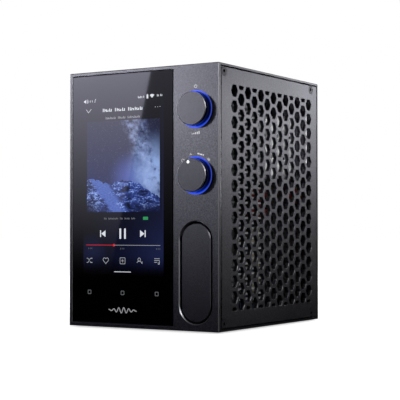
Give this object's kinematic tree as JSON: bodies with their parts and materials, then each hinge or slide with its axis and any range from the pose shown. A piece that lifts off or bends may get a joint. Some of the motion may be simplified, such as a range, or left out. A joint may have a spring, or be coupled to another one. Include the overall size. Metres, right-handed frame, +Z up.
{
  "type": "desktop digital audio player",
  "caption": "Upright metal box with a full-height touch screen, a pressable volume knob, a source selector, covered headphone sockets, vented sides and rear connectors.",
  "frame": {"origin": "under the middle of the whole player, on the surface it stands on", "axes": "+X to the right seen from the front, +Y towards the rear panel, +Z up; the glass and knobs face -Y"},
  "size_m": [0.11, 0.1462, 0.16],
  "materials": {
    "case_metal": "fine bead-blasted and anodised dark grey",
    "panel_metal": "fine bead-blasted and anodised dark grey, edges cut bright",
    "rear_metal": "satin anodised dark grey",
    "knob_metal": "satin face with a bright chamfer, polished side",
    "cover_metal": "fine bead-blasted and anodised dark grey",
    "dark_screw": "black plated steel",
    "plain_screw": "zinc plated steel",
    "plain_steel": "plain sheet steel",
    "nickel_steel": "nickel plated steel",
    "magnet": "nickel plated magnets",
    "contact_metal": "gold plated brass",
    "pin_metal": "plated brass pins",
    "standoff_brass": "turned brass",
    "sink_metal": "plain extruded aluminium",
    "can_metal": "bright drawn cans",
    "rubber": "matt black rubber",
    "front_glass": "polished, dark tinted",
    "screen": "lit display module",
    "ring_plastic": "clear light guide lit blue",
    "black_plastic": "moulded black plastic",
    "grey_plastic": "moulded dark grey plastic",
    "white_plastic": "white filled dot",
    "ribbon_film": "amber flexible circuit",
    "green_board": "solder mask over glass fibre board",
    "blue_board": "solder mask over glass fibre board",
    "red_film": "moulded film capacitors",
    "beige_plastic": "moulded relay covers",
    "winding": "yellow tape round a wound core",
    "sleeve_plastic": "printed sleeves over aluminium cans"
  },
  "bodies": {
    "enclosure": {"main_frame": "case_metal", "rear_panel": "rear_metal", "right_side_panel": "panel_metal", "left_side_panel": "panel_metal", "side_panel_screws": "dark_screw", "case_screws": "dark_screw", "rubber_feet": "rubber", "chassis_plate": "plain_steel", "board_screws": "plain_screw", "board_standoffs": "standoff_brass", "cover_glass": "front_glass", "display_panel": "screen", "display_backplate": "plain_steel", "touch_key_board": "green_board", "wifi_antenna": "black_plastic", "display_ribbon": "ribbon_film", "volume_encoder": "grey_plastic", "selector_switch": "grey_plastic", "shaft_nuts": "nickel_steel", "light_rings": "ring_plastic", "control_board": "green_board", "socket_plate": "plain_steel", "plate_magnets": "magnet", "jack_635": "black_plastic", "jack_44": "black_plastic", "xlr4_socket": "black_plastic", "phono_sockets": "contact_metal", "xlr3_sockets": "black_plastic", "xlr3_pins": "pin_metal", "optical_sockets": "black_plastic", "usb_b_socket": "nickel_steel", "usb_a_sockets": "nickel_steel", "lan_socket": "nickel_steel", "dc_socket": "black_plastic", "mains_inlet": "black_plastic", "mains_pins": "pin_metal", "rocker_housing": "black_plastic", "slide_switch_housings": "black_plastic", "io_board": "green_board", "main_board": "blue_board", "shield_cans": "can_metal", "amplifier_board": "blue_board", "heat_sink": "sink_metal", "smoothing_capacitors": "can_metal", "film_capacitors": "red_film", "relays": "beige_plastic", "power_board": "green_board", "transformer": "winding", "bulk_capacitors": "sleeve_plastic"},
    "volume_press": {"volume_plunger": "white_plastic"},
    "volume_turn": {"volume_knob": "knob_metal", "volume_shaft": "nickel_steel"},
    "selector_turn": {"selector_knob": "knob_metal", "selector_pointer": "white_plastic", "selector_shaft": "nickel_steel"},
    "cover_lift": {"socket_cover": "cover_metal", "cover_magnets": "magnet"},
    "rocker": {"power_rocker": "black_plastic"},
    "ground_lift": {"ground_lift_slider": "black_plastic"},
    "power_select": {"power_select_slider": "black_plastic"}
  },
  "joints": [
    {"name": "volume_press", "type": "slide", "parent": "enclosure", "child": "volume_press", "axis": [0, 1, 0], "range_m": [0, 0.0006], "stiffness_N_per_m": 1500},
    {"name": "volume_turn", "type": "hinge", "parent": "volume_press", "child": "volume_turn", "pos_m": [0.039, -0.0731, 0.1329], "axis": [0, -1, 0], "continuous": true},
    {"name": "selector_turn", "type": "hinge", "parent": "enclosure", "child": "selector_turn", "pos_m": [0.039, -0.0731, 0.0934], "axis": [0, -1, 0], "range_deg": [-60, 30]},
    {"name": "cover_lift", "type": "slide", "parent": "enclosure", "child": "cover_lift", "axis": [0, -1, 0], "range_m": [0, 0.07]},
    {"name": "rocker", "type": "hinge", "parent": "enclosure", "child": "rocker", "pos_m": [-0.005, 0.0631, 0.0248], "axis": [1, 0, 0], "range_deg": [-14, 0]},
    {"name": "ground_lift", "type": "slide", "parent": "enclosure", "child": "ground_lift", "axis": [1, 0, 0], "range_m": [0, 0.004]},
    {"name": "power_select", "type": "slide", "parent": "enclosure", "child": "power_select", "axis": [1, 0, 0], "range_m": [0, 0.004]}
  ]
}
